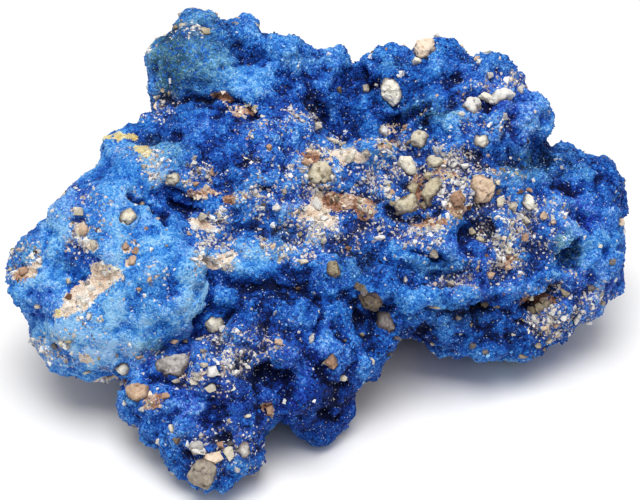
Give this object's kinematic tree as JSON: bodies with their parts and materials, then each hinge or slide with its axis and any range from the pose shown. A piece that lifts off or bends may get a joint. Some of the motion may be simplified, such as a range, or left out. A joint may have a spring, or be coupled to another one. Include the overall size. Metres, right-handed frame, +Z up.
{
  "type": "azurite specimen",
  "caption": "Lumpy hand specimen of blue azurite with pale grit pebbles cemented into its skin, standing on its flat underside.",
  "frame": {"origin": "under the middle of the specimen's box, on the surface that it stands on", "axes": "+X to the right across the show face, +Y away from the viewer, +Z up"},
  "size_m": [0.0786, 0.0624, 0.0375],
  "materials": {
    "azurite": "granular, powdery blue with tiny glassy crystals",
    "cream_feldspar": "dull, slightly chalky",
    "peach_feldspar": "dull, slightly chalky",
    "tan_feldspar": "dull, rough",
    "white_quartz": "half glassy",
    "grey_quartz": "half glassy, rough"
  },
  "bodies": {
    "root": {"azurite_mass": "azurite", "top_pebble": "peach_feldspar", "kidney_pebble": "cream_feldspar", "bar_pebble": "white_quartz", "slab_pebble": "white_quartz", "upper_pebble": "cream_feldspar", "shelf_pebble": "cream_feldspar", "lavender_pebble": "white_quartz", "tan_block_pebble": "tan_feldspar", "tall_pebble": "cream_feldspar", "cap_pebble": "cream_feldspar", "pillar_pebble": "tan_feldspar", "step_pebble": "tan_feldspar", "orange_pebble": "peach_feldspar", "pink_pebble": "peach_feldspar", "round_pebble": "cream_feldspar", "rim_pebble": "tan_feldspar", "brown_pebble": "tan_feldspar", "corner_pebble": "grey_quartz", "crevice_pebble": "cream_feldspar", "diamond_pebble": "tan_feldspar", "lobe_foot_pebble": "cream_feldspar", "wedge_pebble": "grey_quartz", "leg_pebble": "peach_feldspar", "lobe_side_pebble": "cream_feldspar", "slot_pebble": "peach_feldspar", "toe_pebble": "white_quartz", "heel_pebble": "grey_quartz", "foot_pebble": "cream_feldspar", "right_pebble": "tan_feldspar", "back_left_pebble": "cream_feldspar", "back_knob_pebble": "tan_feldspar", "back_middle_pebble": "peach_feldspar", "back_upper_pebble": "white_quartz", "back_right_pebble": "tan_feldspar"}
  },
  "joints": []
}
